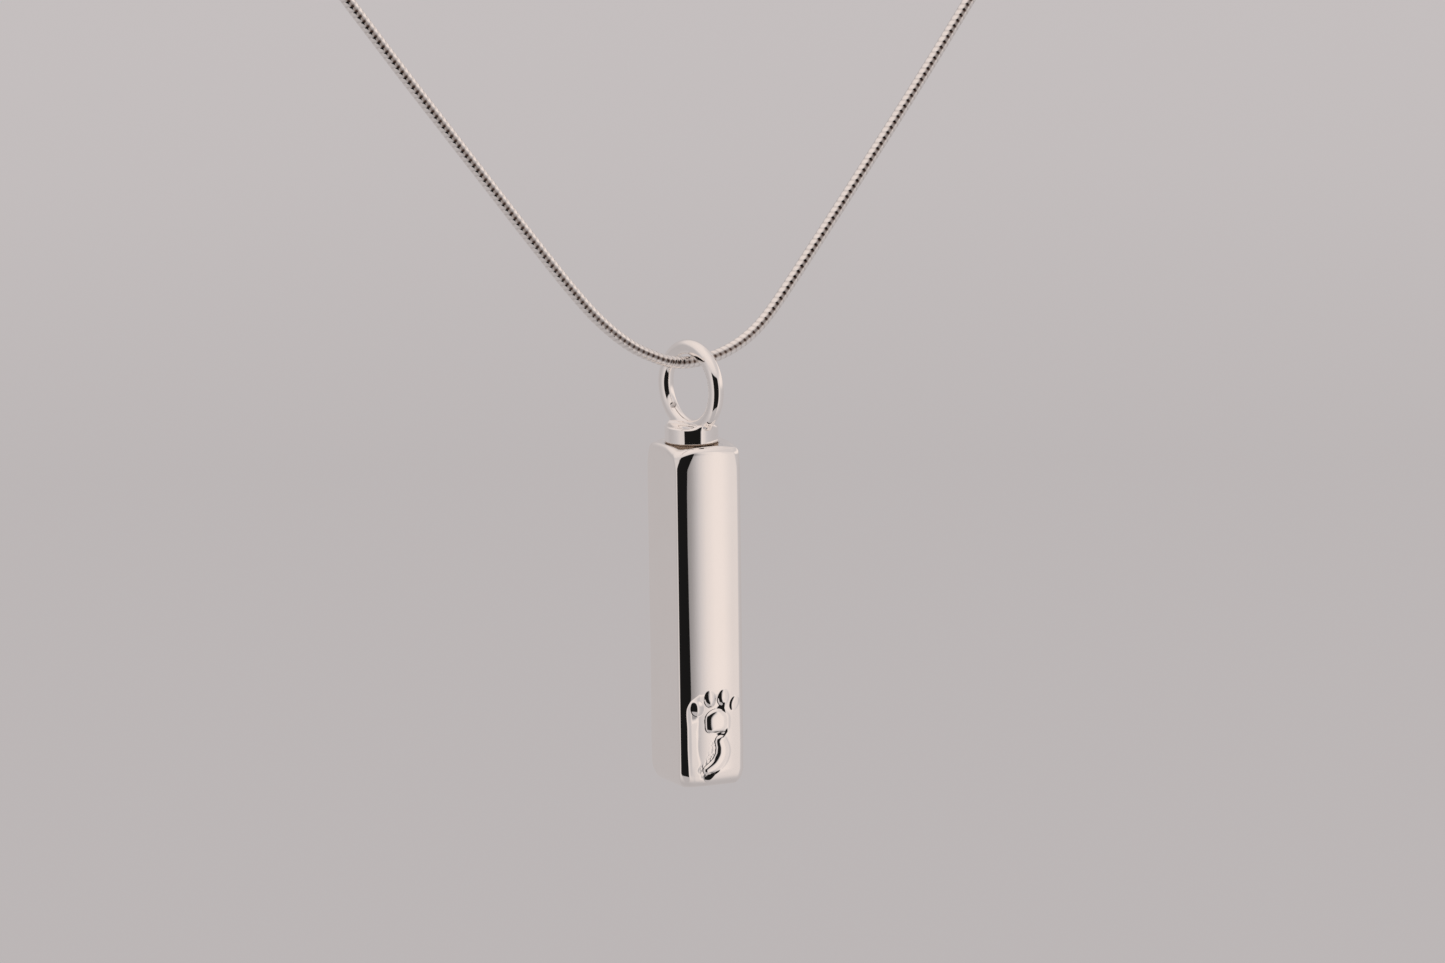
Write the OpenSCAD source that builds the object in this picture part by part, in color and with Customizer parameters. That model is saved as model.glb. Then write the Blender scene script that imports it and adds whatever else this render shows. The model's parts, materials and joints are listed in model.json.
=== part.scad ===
// Square screw-top capsule case, of mezuzah pendant form, hanging by its bail ring on a snake chain.
// Origin: middle of the chain where the bail hangs on it. +Z up, the case's front faces -Y.
// Unscrewing turns the case about Z below the screw plug, with the thread's own pitch.

/* [Case] */
// Width and depth of the square case
case_w = 6.1; // [5.8:0.1:8]
// Height of the case without its screw cap
case_h = 28.2; // [26:0.1:40]
// Rounding of the four long edges
case_edge_r = 1; // [0.4:0.1:1.2]
// Rounding of the edges round the top end
case_top_r = 0.45; // [0.2:0.05:0.6]
// Rounding of the edges round the bottom end
case_foot_r = 1; // [0.3:0.1:1.2]
// Metal left under the chamber
case_floor = 1.6; // [1:0.1:3]
// Bore of the chamber that holds the scroll
chamber_d = 3.9; // [3.6:0.1:4]

/* [Footprint relief] */
// Depth of the sunk ground round the pads
relief_depth = 0.3; // [0.1:0.05:0.4]
// Width of the sunk ground beyond each pad
relief_margin = 0.28; // [0.1:0.02:0.4]
// How far the pads stay below the front face
pad_inset = 0.04; // [0.02:0.01:0.1]

/* [Screw cap] */
// Diameter of the collar above the case
collar_d = 4.4; // [4:0.1:5]
// Height of the collar
collar_h = 1.3; // [1.1:0.1:2]
// Bevel round the collar's top and bottom
collar_bevel = 0.1; // [0.05:0.05:0.2]
// Length of the shank below the collar
shank_h = 3.9; // [3.5:0.1:5]
// Root diameter of the plug's thread
screw_root_d = 2.6; // [2.4:0.1:2.7]
// Radial height of both threads
thread_height = 0.32; // [0.25:0.01:0.34]
// Thread pitch
thread_pitch = 0.6; // [0.5:0.05:0.7]
// Radial gap between each crest and the root it faces
thread_clear = 0.1; // [0.08:0.01:0.14]
// Outer diameter of the threaded bush in the case's neck
bush_d = 4.4; // [4.2:0.1:4.6]
// Height of the bush
bush_h = 3.5; // [3.2:0.1:4]
// Thickness of the seal between collar and case
seal_h = 0.1; // [0.1:0.05:0.3]

/* [Bail ring] */
// Wire diameter of the ring
bail_wire_d = 1.25; // [1:0.05:1.5]
// Diameter of the ring through the middle of its wire
bail_ring_d = 6.5; // [6:0.1:8]
// How deep the middle of the wire sits in the collar's saddle
bail_sink = 0.15; // [0.1:0.05:0.3]
// Gap between the ring and the chain it hangs on
bail_clear = 0.08; // [0.05:0.01:0.12]

/* [Scroll] */
// Outer diameter of the rolled parchment
scroll_d = 3.2; // [2.6:0.1:3.3]
// Length of the rolled parchment
scroll_h = 18; // [12:1:19]
// Thickness of the parchment
parchment_t = 0.12; // [0.08:0.02:0.16]

/* [Chain and fittings] */
// Outer diameter of the snake chain
chain_d = 1; // [0.9:0.05:1.2]
// Turn of the chain's plane from the case's front, seen from above
chain_turn = 16.8; // [0:0.1:30]
// Outer diameter of the end caps
cap_d = 1.7; // [1.6:0.1:2]
// Wire diameter of the jump rings
jump_wire_d = 0.6; // [0.5:0.05:0.65]
// Diameter of a jump ring through the middle of its wire
jump_ring_d = 3.2; // [3:0.1:4]
// Tube diameter of the spring ring clasp
clasp_tube_d = 1.2; // [1.2:0.05:1.3]
// Diameter of the clasp through the middle of its tube
clasp_ring_d = 4.6; // [4.6:0.1:5.5]
// Length of the end tag
tag_h = 6; // [6:0.5:9]

/* [Hidden] */

$fn = 48;
slip = 0.01;            // gap between pieces that are fitted together
overrun = 1;            // how far cutting shapes run past the metal

silver = [0.86, 0.84, 0.82];
shade_silver = [0.74, 0.72, 0.71];
rubber_tan = [0.66, 0.54, 0.45];
parchment = [0.90, 0.84, 0.70];
thread_red = [0.55, 0.12, 0.12];

// Heights, from the chain's middle downwards
bail_z = chain_d / 2 + bail_clear + bail_wire_d / 2 - bail_ring_d / 2;
collar_top_z = bail_z - bail_ring_d / 2 + bail_sink;
collar_foot_z = collar_top_z - collar_h;
case_top_z = collar_foot_z - seal_h;
case_foot_z = case_top_z - case_h;
bush_top_z = case_top_z - 0.05;
bush_foot_z = bush_top_z - bush_h;
chamber_foot_z = case_foot_z + case_floor;
case_front_y = -case_w / 2;

// Thread: the bush's ridge runs half a pitch off the plug's ridge
screw_root_r = screw_root_d / 2;
screw_crest_r = screw_root_r + thread_height;
bush_root_r = screw_crest_r + thread_clear;
bush_crest_r = screw_root_r + thread_clear;
ridge_root_half = thread_pitch / 3;
ridge_crest_half = thread_pitch / 10;
ridge_embed = 0.05;     // how far a ridge's foot is buried in its shank or bush
ridge_steps = 20;       // sections in one turn of thread
screw_ridge_z = collar_foot_z - shank_h + 0.35;
screw_ridge_turns = floor((shank_h - 0.9) / thread_pitch * 2) / 2;
bush_ridge_z = screw_ridge_z + thread_pitch * 1.5;
bush_ridge_turns = floor((bush_top_z - 0.3 - bush_ridge_z) / thread_pitch * 2) / 2;

// Footprint, as [x, height above the case's foot] from the middle of the front face
toes = [[-1.05, 6.8], [0.1, 7.42], [1.25, 7.45], [2.2, 6.9]];
toe_w = 0.8;
toe_h = 1.3;
ball_mid = [0.75, 5.55];
ball_r = 0.95;
heel_route = [[1.05, 3.8], [1.2, 3.2], [1.1, 2.55], [0.6, 1.9], [-0.2, 1.5]];
heel_w = 1.2;

// Chain route in the chain's own plane, as [along, up], from the left end to the right end
chain_route = [
    [-40, 40.3], [-36, 35.5], [-32, 30.7], [-28, 25.9], [-24, 21.2], [-20, 16.5],
    [-16, 11.8], [-13, 8.35], [-11.5, 6.7], [-10, 5.15], [-8.5, 3.8], [-7, 2.65], [-5.5, 1.7],
    [-4, 0.98], [-2.7, 0.45], [-1.4, 0.12], [0, 0], [1.4, 0.06], [2.8, 0.25],
    [4.2, 0.62], [5.5, 1.15], [6.8, 1.9], [8, 2.83], [9.3, 4.08], [10.8, 5.65], [13, 8],
    [16, 11.24], [20, 15.6], [24, 20.02], [28, 24.56], [31.5, 28.58], [35, 32.6]
];
ring_spacing = 2.3;     // distance between the tube's rings
chain_sides = 8;
left_end = chain_route[0];
right_end = chain_route[len(chain_route) - 1];
left_angle = end_angle(chain_route[1], left_end);
right_angle = end_angle(chain_route[len(chain_route) - 2], right_end);

// End caps, measured along the chain from its end
cap_depth = 2.4;        // length of chain inside a cap
cap_bore_d = chain_d + 0.14;
cap_eye_wire_d = 0.55;
cap_eye_ring_d = 1.5;
cap_top = 0.5;
cap_eye_mid = cap_top + (cap_eye_ring_d + cap_eye_wire_d) / 2 - 0.12;

// Jump rings hang the clasp and the tag from their lowest point
jump_slack = cap_eye_ring_d / 2 - cap_eye_wire_d / 2 - jump_wire_d / 2 - 0.04;
jump_reach = cap_eye_mid + jump_slack + jump_ring_d / 2;
left_jump_mid = left_end + jump_reach * [cos(left_angle), sin(left_angle)];
right_jump_mid = right_end + jump_reach * [cos(right_angle), sin(right_angle)];
left_pivot = left_jump_mid - [0, jump_ring_d / 2];
right_pivot = right_jump_mid - [0, jump_ring_d / 2];

// Clasp and tag, measured down from the jump ring's wire that they hang on
hang_gap = 0.08;
clasp_eye_wire_d = 0.55;
clasp_eye_ring_d = 2;
clasp_eye_drop = clasp_eye_ring_d / 2 - clasp_eye_wire_d / 2 - jump_wire_d / 2 - hang_gap;
clasp_drop = clasp_eye_drop + clasp_eye_ring_d / 2 + clasp_ring_d / 2 + 0.45;
clasp_bore_r = 0.42;
clasp_gap = [-75, 5];       // open arc of the clasp's tube, degrees from its front
bolt_r = 0.38;
bolt_arc = [-90, 30];       // arc the bolt fills when the clasp is shut
bolt_slot = [19, 78];       // slot that the bolt's knob slides in
spring_arc = [84, 190];
tag_w = 3.2;
tag_neck_w = 1.5;
tag_t = 0.6;
tag_hole_d = 1.4;
tag_hole_drop = tag_hole_d / 2 - jump_wire_d / 2 - hang_gap;
tag_neck = 1.9;             // from the hanging hole to the wide part's first round end
tag_eye = tag_neck + tag_h - tag_w;

// ---------- helpers ----------

function end_angle(from, to) = atan2(to[1] - from[1], to[0] - from[0]);

// Point on a smooth curve through b and c, with a and d the neighbouring points
function curve_point(a, b, c, d, t) =
    0.5 * (2 * b + (c - a) * t + (2 * a - 5 * b + 4 * c - d) * t * t + (3 * b - a - 3 * c + d) * t * t * t);

// Route with extra points between its own, so that no step is much longer than the spacing
function fine_route(route, spacing) = [
    for (i = [0 : len(route) - 2])
        let (
            b = route[i],
            c = route[i + 1],
            a = i == 0 ? 2 * b - c : route[i - 1],
            d = i == len(route) - 2 ? 2 * c - b : route[i + 2],
            steps = max(1, round(norm(c - b) / spacing))
        )
        for (k = [0 : steps - 1]) curve_point(a, b, c, d, k / steps),
    route[len(route) - 1]
];

// Direction of a flat route at one of its points
function route_way(route, i) =
    let (way = route[min(i + 1, len(route) - 1)] - route[max(i - 1, 0)]) way / norm(way);

// Faces of a closed tube made of rings with the same number of points
function tube_faces(rings, sides) = concat(
    [[for (j = [0 : sides - 1]) j]],
    [for (i = [0 : rings - 2], j = [0 : sides - 1])
        let (n = (j + 1) % sides)
        [i * sides + j, (i + 1) * sides + j, (i + 1) * sides + n, i * sides + n]],
    [[for (j = [sides - 1 : -1 : 0]) (rings - 1) * sides + j]]
);

// Round tube along a flat route, in the plane of X and Z
module flat_tube(route, d, sides) {
    points = [
        for (i = [0 : len(route) - 1])
            let (way = route_way(route, i))
            for (j = [0 : sides - 1])
                let (a = (j + 0.5) * 360 / sides, out = d / 2 * cos(a), across = d / 2 * sin(a))
                [route[i][0] - way[1] * out, across, route[i][1] + way[0] * out]
    ];
    polyhedron(points = points, faces = tube_faces(len(route), sides), convexity = 4);
}

// Helical ridge of a right-hand thread, from its foot radius to its crest radius
module thread_ridge(foot_r, crest_r, z, turns) {
    steps = turns * ridge_steps;
    points = [
        for (i = [0 : steps])
            let (a = i * 360 / ridge_steps, rise = z + thread_pitch * i / ridge_steps)
            for (p = [
                [foot_r, -ridge_root_half], [crest_r, -ridge_crest_half],
                [crest_r, ridge_crest_half], [foot_r, ridge_root_half]
            ])
                [p[0] * cos(a), p[0] * sin(a), rise + p[1]]
    ];
    faces = tube_faces(steps + 1, 4);
    polyhedron(
        points = points,
        faces = crest_r > foot_r ? [for (f = faces) [for (k = [len(f) - 1 : -1 : 0]) f[k]]] : faces,
        convexity = 10
    );
}

module wire_ring(ring_d, wire_d) {
    rotate_extrude() translate([ring_d / 2, 0]) circle(d = wire_d);
}

// Part of a ring of tube, between two angles
module ring_arc(ring_d, tube_r, arc) {
    rotate([0, 0, arc[0]])
        rotate_extrude(angle = arc[1] - arc[0]) translate([ring_d / 2, 0]) circle(r = tube_r);
}

module rounded_rect(w, h, r) {
    square([w - 2 * r, h], center = true);
    square([w, h - 2 * r], center = true);
    for (x = [-1, 1], y = [-1, 1])
        translate([x * (w / 2 - r), y * (h / 2 - r)]) circle(r = r);
}

// Flat bar with round ends between two points
module capsule(p, q, d) {
    way = q - p;
    translate(p) circle(d = d);
    translate(q) circle(d = d);
    translate(p) rotate(atan2(way[1], way[0])) translate([0, -d / 2]) square([norm(way), d]);
}

module in_chain_plane() {
    rotate([0, 0, chain_turn]) children();
}

// Moves to a place in the chain's plane and turns local +Z along the chain's end
module at_chain_end(end, angle) {
    in_chain_plane() translate([end[0], 0, end[1]]) rotate([0, 90 - angle, 0]) children();
}

// Moves to a place in the chain's plane, with local Z along the plane and local X up
module hung_across(place, drop) {
    in_chain_plane() translate([place[0], 0, place[1] - drop]) rotate([0, -90, 0]) children();
}

// ---------- case ----------

// Side view of the case, with its own rounding at the top and at the foot
module case_profile() {
    translate([0, -case_h / 2]) {
        square([case_w, case_h - 2 * case_foot_r], center = true);
        translate([-case_w / 2, 0]) square([case_w, case_h / 2 - case_top_r]);
        translate([case_top_r - case_w / 2, 0]) square([case_w - 2 * case_top_r, case_h / 2]);
        translate([case_foot_r - case_w / 2, -case_h / 2]) square([case_w - 2 * case_foot_r, case_h / 2]);
        for (x = [-1, 1]) {
            translate([x * (case_w / 2 - case_top_r), case_h / 2 - case_top_r]) circle(r = case_top_r);
            translate([x * (case_w / 2 - case_foot_r), case_foot_r - case_h / 2]) circle(r = case_foot_r);
        }
    }
}

module case_block() {
    intersection() {
        translate([0, 0, case_foot_z]) linear_extrude(case_h) rounded_rect(case_w, case_w, case_edge_r);
        translate([0, case_w / 2, case_top_z]) rotate([90, 0, 0]) linear_extrude(case_w) case_profile();
        translate([-case_w / 2, 0, case_top_z]) rotate([90, 0, 90]) linear_extrude(case_w) case_profile();
    }
}

// The footprint's pads, each grown by the same margin
module pads(grow) {
    for (toe = toes)
        capsule(toe - [0, (toe_h - toe_w) / 2], toe + [0, (toe_h - toe_w) / 2], toe_w + 2 * grow);
    translate(ball_mid) circle(r = ball_r + grow);
    translate(ball_mid - [ball_r + grow, ball_r + grow]) square([2 * (ball_r + grow), ball_r + grow]);
    for (i = [0 : len(heel_route) - 2])
        capsule(heel_route[i], heel_route[i + 1], heel_w + 2 * grow - 0.12 * i);
}

// Extrudes a drawing of the front face, between two depths below the front face
module on_front(from, to) {
    translate([0, case_front_y + to, case_foot_z])
        rotate([90, 0, 0]) linear_extrude(to - from) children();
}

module case_shell() {
    color(silver) difference() {
        case_block();
        translate([0, 0, chamber_foot_z]) cylinder(d = chamber_d, h = bush_foot_z - chamber_foot_z + overrun);
        translate([0, 0, bush_foot_z]) cylinder(d = bush_d + 2 * slip, h = bush_h + overrun);
        difference() {
            on_front(-overrun, relief_depth) pads(relief_margin);
            on_front(pad_inset, relief_depth + slip) pads(0);
        }
    }
}

module neck_bush() {
    color(shade_silver) {
        translate([0, 0, bush_foot_z]) difference() {
            cylinder(d = bush_d, h = bush_h);
            translate([0, 0, -overrun]) cylinder(r = bush_root_r, h = bush_h + 2 * overrun);
        }
        thread_ridge(bush_root_r + ridge_embed, bush_crest_r, bush_ridge_z, bush_ridge_turns);
    }
}

// ---------- screw cap and bail ----------

module screw_plug() {
    color(silver) {
        difference() {
            translate([0, 0, collar_foot_z]) rotate_extrude() polygon([
                [0, 0], [collar_d / 2 - collar_bevel, 0], [collar_d / 2, collar_bevel],
                [collar_d / 2, collar_h - collar_bevel], [collar_d / 2 - collar_bevel, collar_h], [0, collar_h]
            ]);
            bail_wire(bail_wire_d + 2 * slip);
        }
        translate([0, 0, collar_foot_z - shank_h]) rotate_extrude() polygon([
            [0, 0], [screw_root_r - 0.2, 0], [screw_root_r, 0.2],
            [screw_root_r, shank_h], [0, shank_h]
        ]);
        thread_ridge(screw_root_r - ridge_embed, screw_crest_r, screw_ridge_z, screw_ridge_turns);
    }
}

module seal_washer() {
    color(rubber_tan) translate([0, 0, case_top_z + slip]) difference() {
        cylinder(d = collar_d - 0.1, h = seal_h - slip);
        translate([0, 0, -overrun]) cylinder(r = screw_crest_r + 0.05, h = seal_h + 2 * overrun);
    }
}

// The bail's round of wire, square to the chain
module bail_wire(wire_d) {
    in_chain_plane() translate([0, 0, bail_z]) rotate([0, 90, 0]) wire_ring(bail_ring_d, wire_d);
}

module bail_ring() {
    color(silver) bail_wire(bail_wire_d);
}

// ---------- scroll ----------

// Rolled sheet as one spiral wall: the outline runs out along the outside and back along the inside
module scroll() {
    turns = 3.5;
    wind = 1.6 * parchment_t;
    steps = 18 * turns;
    outer = [for (i = [0 : steps]) [scroll_d / 2 - wind * i / 18, i * 20]];
    inner = [for (i = [steps : -1 : 0]) [outer[i][0] - parchment_t, outer[i][1]]];
    color(parchment) translate([0, 0, chamber_foot_z + 0.05]) linear_extrude(scroll_h)
        polygon([for (p = concat(outer, inner)) p[0] * [cos(p[1]), sin(p[1])]]);
}

module scroll_tie() {
    color(thread_red) translate([0, 0, chamber_foot_z + scroll_h / 2])
        wire_ring(scroll_d + 0.32, 0.25);
}

// ---------- chain and its fittings ----------

module chain() {
    color(shade_silver) in_chain_plane()
        flat_tube(fine_route(chain_route, ring_spacing), chain_d, chain_sides);
}

module end_cap(end, angle) {
    color(silver) at_chain_end(end, angle) {
        difference() {
            translate([0, 0, -cap_depth]) cylinder(d = cap_d, h = cap_depth + cap_top);
            translate([0, 0, -cap_depth - overrun]) cylinder(d = cap_bore_d, h = cap_depth + overrun);
        }
        translate([0, 0, cap_eye_mid]) rotate([0, 90, 0]) wire_ring(cap_eye_ring_d, cap_eye_wire_d);
    }
}

module jump_ring(middle) {
    color(silver) in_chain_plane() translate([middle[0], 0, middle[1]])
        rotate([90, 0, 0]) wire_ring(jump_ring_d, jump_wire_d);
}

module left_end_cap() {
    end_cap(left_end, left_angle);
}

module right_end_cap() {
    end_cap(right_end, right_angle);
}

module left_jump_ring() {
    jump_ring(left_jump_mid);
}

module right_jump_ring() {
    jump_ring(right_jump_mid);
}

// ---------- spring ring clasp ----------

// Hollow ring of tube with an open arc and a slot for the bolt's knob
module clasp_ring() {
    color(silver) hung_across(left_pivot, clasp_drop) difference() {
        ring_arc(clasp_ring_d, clasp_tube_d / 2, [clasp_gap[1], 360 + clasp_gap[0]]);
        ring_arc(clasp_ring_d, clasp_bore_r, [clasp_gap[1] - 2, spring_arc[1] + 6]);
        rotate([0, 0, bolt_slot[0]]) rotate_extrude(angle = bolt_slot[1] - bolt_slot[0])
            translate([clasp_ring_d / 2, -0.25]) square([overrun, 0.5]);
        ring_arc(clasp_ring_d, clasp_bore_r, [clasp_gap[0] - 22, clasp_gap[0] + 2]);
    }
}

module clasp_eye() {
    color(silver) hung_across(left_pivot, clasp_eye_drop) difference() {
        wire_ring(clasp_eye_ring_d, clasp_eye_wire_d);
        translate([clasp_eye_drop - clasp_drop, 0, 0])
            wire_ring(clasp_ring_d, clasp_tube_d + 2 * slip);
    }
}

// Curved bolt that slides in the clasp's tube, with its thumb knob
module clasp_bolt() {
    color(silver) hung_across(left_pivot, clasp_drop) {
        ring_arc(clasp_ring_d, bolt_r, bolt_arc);
        rotate([0, 0, 24]) translate([clasp_ring_d / 2, 0, 0]) rotate([0, 90, 0]) cylinder(d = 0.4, h = 1);
    }
}

// The spring stands for its pressed-together coils
module clasp_spring() {
    color(shade_silver) hung_across(left_pivot, clasp_drop)
        rotate([0, 0, spring_arc[0]]) rotate_extrude(angle = spring_arc[1] - spring_arc[0])
            translate([clasp_ring_d / 2, 0]) difference() {
                circle(r = bolt_r);
                circle(r = bolt_r - 0.16);
            }
}

// ---------- end tag ----------

module end_tag() {
    color(silver) hung_across(right_pivot, tag_hole_drop)
        translate([0, 0, -tag_t / 2]) linear_extrude(tag_t) difference() {
            union() {
                circle(d = tag_hole_d + 1.2);
                capsule([-tag_neck, 0], [-tag_eye, 0], tag_w);
                translate([-tag_neck, -tag_neck_w / 2]) square([tag_neck, tag_neck_w]);
            }
            circle(d = tag_hole_d);
            translate([-tag_eye, 0]) circle(d = tag_w - 1.4);
        }
}

case_shell();
neck_bush();
screw_plug();
seal_washer();
bail_ring();
scroll();
scroll_tie();
chain();
left_end_cap();
right_end_cap();
left_jump_ring();
right_jump_ring();
clasp_ring();
clasp_eye();
clasp_bolt();
clasp_spring();
end_tag();
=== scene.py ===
import json
import math

import bpy
import numpy as np
from mathutils import Matrix, Vector


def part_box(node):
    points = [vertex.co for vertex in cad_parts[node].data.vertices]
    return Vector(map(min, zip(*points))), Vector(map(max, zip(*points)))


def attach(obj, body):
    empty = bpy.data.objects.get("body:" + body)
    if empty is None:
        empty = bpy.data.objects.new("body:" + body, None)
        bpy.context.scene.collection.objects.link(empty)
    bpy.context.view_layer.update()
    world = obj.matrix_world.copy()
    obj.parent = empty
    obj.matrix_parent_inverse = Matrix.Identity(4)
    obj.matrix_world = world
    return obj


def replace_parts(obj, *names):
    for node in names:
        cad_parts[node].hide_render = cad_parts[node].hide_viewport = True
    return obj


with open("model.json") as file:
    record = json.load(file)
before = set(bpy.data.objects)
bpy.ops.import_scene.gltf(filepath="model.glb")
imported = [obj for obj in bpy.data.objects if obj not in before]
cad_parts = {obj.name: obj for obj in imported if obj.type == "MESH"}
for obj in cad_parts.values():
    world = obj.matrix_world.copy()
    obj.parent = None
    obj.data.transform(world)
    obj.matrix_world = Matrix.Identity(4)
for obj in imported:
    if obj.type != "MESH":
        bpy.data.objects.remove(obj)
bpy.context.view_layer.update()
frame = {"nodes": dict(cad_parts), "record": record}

MM = 0.001

# ---------- driving values, in millimetres and degrees ----------

CHAIN_TURN = 16.8           # the chain's plane, turned from the case's front
CHAIN_D = 1.0
CHAIN_PITCH = 0.55          # from one plate of the snake chain to the next
CHAIN_SIDES = 36
RIB_SHAPE = (0.93, 0.97, 0.99, 1.0, 1.0, 1.0, 0.99, 0.97)       # radius along one plate, over the chain's
RIB_SEAM = (1.0, 0.9, 0.2, 0.0, 0.0, 0.0, 0.2, 0.9)             # how far in the seam each of these is
LINE_HALF = 0.33            # half the width of the dark line along each side, over the radius
LINE_DEPTH = 0.06           # how far it is sunk, over the radius
LINE_SHADE = (0.7, 0.28)  # how dark the painted shade in the line is on a plate, and how much darker in a seam
SEAM_SHADE = 0.22         # painted shade: how dark a seam is away from the line
PLATE_LEAD = 0.1            # how far a plate's edge leads at the sides, and lags at the top and underside
RUN_STEP = 0.4              # how far ahead and behind a point the chain's direction is taken
CHAIN_TWIST = [(-10, -17), (0, 13), (10, 22)]   # (place along, degrees) by which those lines turn
CHAIN_ROUTE = [
    (-40, 40.3), (-36, 35.5), (-32, 30.7), (-28, 25.9), (-24, 21.2), (-20, 16.5),
    (-16, 11.8), (-13, 8.35), (-11.5, 6.7), (-10, 5.15), (-8.5, 3.8), (-7, 2.65), (-5.5, 1.7),
    (-4, 0.98), (-2.7, 0.45), (-1.4, 0.12), (0, 0), (1.4, 0.06), (2.8, 0.25),
    (4.2, 0.62), (5.5, 1.15), (6.8, 1.9), (8, 2.83), (9.3, 4.08), (10.8, 5.65), (13, 8),
    (16, 11.24), (20, 15.6), (24, 20.02), (28, 24.56), (31.5, 28.58), (35, 32.6),
]
CASE_CROWN = 0.0165         # how fast each face bulges: turn of its surface, radians per millimetre
CASE_CORNERS = (0.5, 1.0, 1.1, 1.35)    # radii from the front right corner, anticlockwise from above
CASE_LEAN = 0.05            # how far the case has been polished towards its right side
SIDE_TURN = 6.5             # how far the left side is out of square, which leaves a sharp edge at its front
SIDE_REACH = 2.86           # from the axis to that side
SIDE_STEPS = (96, 16, 16, 40)       # points along the front, right, back and left
CORNER_STEPS = 14
WORN_CORNERS = [            # (x, y, how much lower the top is there)
    (-2.6, -2.5, 0.4), (2.8, -2.8, 0.22), (-2.6, 2.6, 0.22),
]
WORN_DEPTH = 2.0            # how far down from the top that wear reaches
CASE_WEAR = [               # (height above the foot, how much rounder the corners are there)
    (0.0, 1.5), (0.5, 1.3), (1.4, 1.05), (3.5, 0.95), (8.0, 1.05), (14.0, 1.0), (20.0, 0.96),
    (24.5, 0.96), (26.5, 1.0), (27.1, 1.2), (27.7, 1.42), (28.2, 1.5),
]
CASE_TOP = (0.42, 0.6)      # how far the top edge is rounded inwards and downwards
CASE_FOOT = (0.9, 1.5)      # the same for the foot
FOOT_RINGS = (0.162, 0.54, 0.9)     # sizes of the rings that close the foot, over the foot's
NECK_GAP = 0.01             # between the drilled neck and its bush
NECK_EDGE = 0.08            # how far the edge of the neck's hole is broken
CHAMBER_R = 1.95
CHAMBER_FLOOR = 1.6         # its height above the foot
CHAMBER_EDGE = 0.4          # how far the edge of its floor slopes
CHAMBER_MID_R = 0.6         # the innermost ring of its floor

THREAD_PITCH = 0.6
THREAD_TURNS = 5
THREAD_START = 0.35         # from the shank's tip
THREAD_STEPS = 64           # for each turn
THREAD_FADE = 20            # steps over which the ridge thins out at each end
RIDGE_ROOT = (-0.03, 0.2)   # how far out of the shank the ridge's root is, and half its width
RIDGE_CREST_HALF = 0.06
SHANK_ROOT_R = 1.3
SHANK_CREST_R = 1.62
SHANK_ROUND = 0.1           # slope where the shank meets the collar
TIP_EDGE = 0.2              # slope at its tip
BAIL_WIRE_D = 1.25
BAIL_RING_D = 6.5
BAIL_SINK = 0.15
SOLDER_REACH = 1.1          # along the collar
SOLDER_ON_RING = 0.4
COLLAR_EDGE = 0.22
COLLAR_FOOT_EDGE = 0.05
COLLAR_SIDES = 160
RING_STEPS = 240            # round the ring
WIRE_STEPS = 48             # round its wire

# The footprint, as (x, height above the case's foot) from the middle of the front face
TOES = [(-1.05, 6.8), (0.1, 7.42), (1.25, 7.45), (2.2, 6.9)]
TOE_TILT = [24, 10, -8, -18]        # anticlockwise
TOE_HALF = [(0.58, 0.76), (0.5, 0.72), (0.48, 0.7), (0.4, 0.64)]    # half the width and the height
TOE_FLATNESS = [2, 4, 4, 4]         # 1 is a cone, and the higher ones are flatter with steeper sides
BALL_MID = (0.75, 5.55)
BALL_HALF = (1.08, 0.98)
BALL_FLATNESS = 8
HEEL_ROUTE = [(1.05, 3.8), (1.2, 3.2), (1.1, 2.55), (0.6, 1.9), (-0.2, 1.5)]
HEEL_HALF = [0.52, 0.62, 0.62, 0.52, 0.34]      # half its width at each point of its route
HEEL_FLATNESS = 5
RELIEF_TOP = 9.0            # height up to which the case has close rings of points for the footprint
RING_SPACING = 0.04         # between those rings
HOLLOW_MID = (-0.35, 3.6)   # a shallow hollow in the ground beside the heel
HOLLOW_HALF = (0.6, 1.6)
PADS_PROUD = 0.03           # how far the pads stand above the front face
RELIEF_DEPTH = 0.17         # how far the ground round them is sunk
GROUND_SHIFT = (0.5, 0.0)   # how far the ground lies to the left of the pads, and below them
GROUND_REACH = (0.5, 1.0, 0.55)     # how far it spreads from a toe, the ball and the heel
GROUND_BLEND = 0.16         # how softly the ground of one pad runs into the next
GROUND_SLOPE = 0.3          # width of its slope up to the front face
LEFT_SLOPE = [(4.8, 1.7), (6.4, 0.7)]       # (height, the same at its left)
LEFT_SLOPE_AT = (-1.2, 0.4) # x between which the left's width turns into the usual one
GROUND_TOP = (7.1, 7.9)     # heights between which the ground fades out
GROUND_TOP_TILT = (-0.8, 0.6)       # left of this x those are lower, by this much for each millimetre
GROUND_LEFT = (-2.1, -1.5)  # x between which the ground fades in
STIPPLE = 0.006             # height of the punch marks on the ground beside the heel
STIPPLE_REACH = (1.4, 2.1)  # how far out from the heel they fade out, over the heel's half width
STIPPLE_TOP = (3.6, 4.2)    # heights between which they fade out

CAMERA_AZIMUTH = -22.0
CAMERA_ELEVATION = 10.94
CAMERA_ROLL = -0.72
CAMERA_DISTANCE = 526.8
CAMERA_AIM = (2.714, 0.156, -10.1)
CAMERA_LENS = 161.4

# ---------- small helpers ----------


def chain_plane(along, up, out=0.0):
    """A point of the chain's plane, out of it by out, in metres."""
    turn = math.radians(CHAIN_TURN)
    return Vector((
        along * math.cos(turn) - out * math.sin(turn),
        along * math.sin(turn) + out * math.cos(turn),
        up,
    )) * MM


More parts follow.
